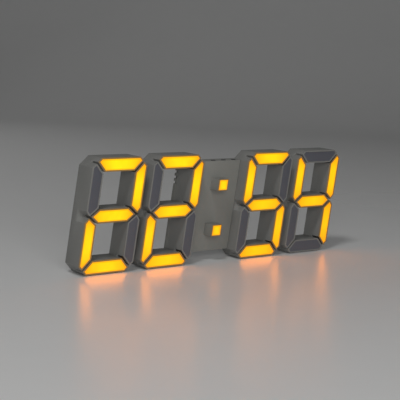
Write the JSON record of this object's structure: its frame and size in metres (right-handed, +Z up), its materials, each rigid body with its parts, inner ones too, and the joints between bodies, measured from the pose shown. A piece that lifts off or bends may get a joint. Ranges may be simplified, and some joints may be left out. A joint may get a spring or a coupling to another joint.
{
  "type": "LED digital clock",
  "caption": "Free-standing desk clock with solid leaning seven-segment digits lit from inside, a colon module with push keys, a power inlet and a battery cap",
  "frame": {"origin": "middle of the footprint, on the surface the clock stands on", "axes": "+X along the clock, from the hours to the minutes; +Y from the lit faces to the back; +Z up"},
  "size_m": [0.3008, 0.0272, 0.1008],
  "materials": {
    "shell_abs": "fine moulded satin",
    "cover_abs": "fine moulded satin",
    "key_abs": "satin",
    "diffuser_lit": "opal, lit from behind",
    "diffuser_unlit": "smoked opal, unlit",
    "light_board": "white solder mask",
    "main_board": "green solder mask",
    "lamp_led": "clear yellow silicone",
    "ribbon_pvc": "extruded",
    "plug_nylon": "natural nylon",
    "switch": "moulded",
    "chip": "moulded epoxy",
    "tin_can": "plain",
    "capacitor_can": "satin",
    "resistor": "glazed",
    "buzzer": "moulded",
    "sensor_epoxy": "dipped epoxy",
    "cell_holder": "moulded nylon",
    "cell_steel": "bright",
    "inlet_steel": "nickel plated",
    "screw_steel": "zinc plated",
    "foot_rubber": "matt"
  },
  "bodies": {
    "clock": {"board_screws": "screw_steel", "buzzer": "buzzer", "capacitors": "capacitor_can", "cell_holder": "cell_holder", "clock_chip": "chip", "coin_cell": "cell_steel", "colon_diffusers": "diffuser_lit", "colon_lamps": "lamp_led", "cover_screws": "screw_steel", "crystal": "tin_can", "digit_1_cover": "cover_abs", "digit_1_diffusers_lit": "diffuser_lit", "digit_1_diffusers_unlit": "diffuser_unlit", "digit_1_housing": "shell_abs", "digit_1_lamps": "lamp_led", "digit_1_light_board": "light_board", "digit_2_cover": "cover_abs", "digit_2_diffusers_lit": "diffuser_lit", "digit_2_diffusers_unlit": "diffuser_unlit", "digit_2_housing": "shell_abs", "digit_2_lamps": "lamp_led", "digit_2_light_board": "light_board", "digit_3_cover": "cover_abs", "digit_3_diffusers_lit": "diffuser_lit", "digit_3_diffusers_unlit": "diffuser_unlit", "digit_3_housing": "shell_abs", "digit_3_lamps": "lamp_led", "digit_3_light_board": "light_board", "digit_4_cover": "cover_abs", "digit_4_diffusers_lit": "diffuser_lit", "digit_4_diffusers_unlit": "diffuser_unlit", "digit_4_housing": "shell_abs", "digit_4_lamps": "lamp_led", "digit_4_light_board": "light_board", "feet": "foot_rubber", "frame_screws": "screw_steel", "key_switches": "switch", "lamp_driver": "chip", "link_bar_left": "cover_abs", "link_bar_right": "cover_abs", "main_board": "main_board", "microcontroller": "chip", "module_cover": "cover_abs", "module_housing": "shell_abs", "module_ribbon_left": "ribbon_pvc", "module_ribbon_right": "ribbon_pvc", "pair_ribbon_left": "ribbon_pvc", "pair_ribbon_right": "ribbon_pvc", "power_inlet": "inlet_steel", "regulator": "chip", "resistors": "resistor", "ribbon_plugs": "plug_nylon", "temperature_sensor": "sensor_epoxy"},
    "key_mode": {"key_mode": "key_abs"},
    "key_down": {"key_down": "key_abs"},
    "key_up": {"key_up": "key_abs"},
    "battery_cap": {"battery_cap": "cover_abs"}
  },
  "joints": [
    {"name": "key_mode_push", "type": "slide", "parent": "clock", "child": "key_mode", "axis": [0, 0, -1], "range_m": [0, 0.0005], "stiffness_N_per_m": 600, "springref_m": -0.0005},
    {"name": "key_down_push", "type": "slide", "parent": "clock", "child": "key_down", "axis": [0, 0, -1], "range_m": [0, 0.0005], "stiffness_N_per_m": 600, "springref_m": -0.0005},
    {"name": "key_up_push", "type": "slide", "parent": "clock", "child": "key_up", "axis": [0, 0, -1], "range_m": [0, 0.0005], "stiffness_N_per_m": 600, "springref_m": -0.0005},
    {"name": "battery_cap_turn", "type": "hinge", "parent": "clock", "child": "battery_cap", "pos_m": [-0.01124, 0.0136, 0.0338], "axis": [0, 1, 0], "range_deg": [0, 60]}
  ]
}
